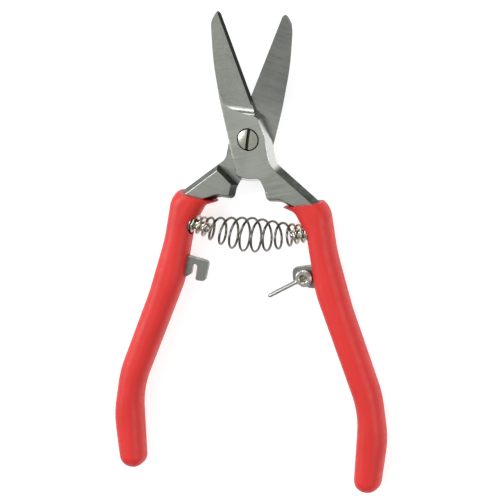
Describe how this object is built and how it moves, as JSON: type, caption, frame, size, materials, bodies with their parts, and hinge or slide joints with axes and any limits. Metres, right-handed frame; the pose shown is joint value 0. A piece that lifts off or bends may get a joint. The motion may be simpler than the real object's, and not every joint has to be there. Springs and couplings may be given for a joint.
{
  "type": "floral snips",
  "caption": "Spring-opened hand snips with short pointed blades, red dipped handles, a barrel spring and a wire bail latch.",
  "frame": {"origin": "on the pivot axis, at the rear end of the pivot screw, level with the underside of the grips", "axes": "+Y towards the blade tips, +Z out of the front face along the pivot, +X to the front lever's handle"},
  "size_m": [0.1092, 0.1808, 0.0136],
  "materials": {
    "forged_steel": "satin, fine ground",
    "red_vinyl": "soft dipped vinyl, semi-gloss",
    "nickel_steel": "nickel plated",
    "spring_wire": "drawn wire",
    "catch_steel": "blanked plate"
  },
  "bodies": {
    "back_half": {"back_lever": "forged_steel", "left_grip": "red_vinyl", "left_spring_peg": "nickel_steel", "catch_hook": "catch_steel", "pivot_screw": "nickel_steel", "pivot_washer": "nickel_steel", "pivot_nut": "nickel_steel", "spring": "spring_wire"},
    "front_half": {"front_lever": "forged_steel", "right_grip": "red_vinyl", "right_spring_peg": "nickel_steel", "catch_bracket": "catch_steel", "catch_rivet": "nickel_steel"},
    "bail": {"latch_bail": "spring_wire"}
  },
  "joints": [
    {"name": "pivot", "type": "hinge", "parent": "back_half", "child": "front_half", "pos_m": [0, 0, 0.0056], "axis": [0, 0, -1], "range_deg": [0, 30], "stiffness_Nm_per_rad": 0.9, "deforming": ["spring"]},
    {"name": "bail_swing", "type": "hinge", "parent": "front_half", "child": "bail", "pos_m": [0.0221, -0.0518, 0.0056], "axis": [0, 0, -1], "range_deg": [-75, 17.2]}
  ]
}
